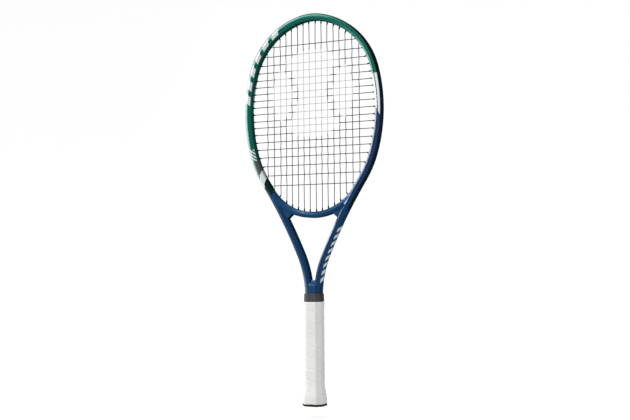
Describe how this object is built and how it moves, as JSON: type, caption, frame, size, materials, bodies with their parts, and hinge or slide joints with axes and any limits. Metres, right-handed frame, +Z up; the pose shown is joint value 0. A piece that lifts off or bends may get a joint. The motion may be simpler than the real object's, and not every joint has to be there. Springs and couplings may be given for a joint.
{
  "type": "tennis racket",
  "caption": "Strung adult tennis racket: hollow moulded frame with open throat, woven string bed, guard and grommet strips, octagonal wrapped grip and flared butt cap.",
  "frame": {"origin": "centre of the butt end of the handle, on the flat end of the butt cap", "axes": "+Z up the racket to the tip of the head, X across the string bed, front face towards -Y"},
  "size_m": [0.262, 0.0374, 0.6858],
  "materials": {
    "painted_frame": "lacquered carbon composite, green to blue, with white and pale graphic stripes",
    "black_nylon": "fine matte moulded nylon",
    "foam_pallet": "rigid polyurethane foam",
    "black_cap": "satin moulded plastic",
    "steel_wire": "plain drawn steel wire",
    "white_grip": "perforated soft polyurethane wrap",
    "white_tape": "smooth vinyl tape",
    "rubber_collar": "matte ribbed rubber",
    "string": null
  },
  "bodies": {
    "racket": {"frame_tube": "painted_frame", "throat_bridge": "painted_frame", "bumper_guard": "black_nylon", "right_grommet_strip": "black_nylon", "left_grommet_strip": "black_nylon", "throat_grommet_strip": "black_nylon", "front_handle_pallet": "foam_pallet", "back_handle_pallet": "foam_pallet", "butt_cap": "black_cap", "butt_cap_staples": "steel_wire", "grip_tack": "steel_wire", "base_grip": "white_grip", "finishing_tape": "white_tape", "main_string": "string", "cross_string": "string"},
    "collar": {"grip_collar": "rubber_collar"},
    "cap_door": {"butt_cap_door": "black_cap"}
  },
  "joints": [
    {"name": "collar_slide", "type": "slide", "parent": "racket", "child": "collar", "axis": [0, 0, 1], "range_m": [0, 0.007]},
    {"name": "cap_door_pull", "type": "slide", "parent": "racket", "child": "cap_door", "axis": [0, 0, -1], "range_m": [0, 0.012]}
  ]
}
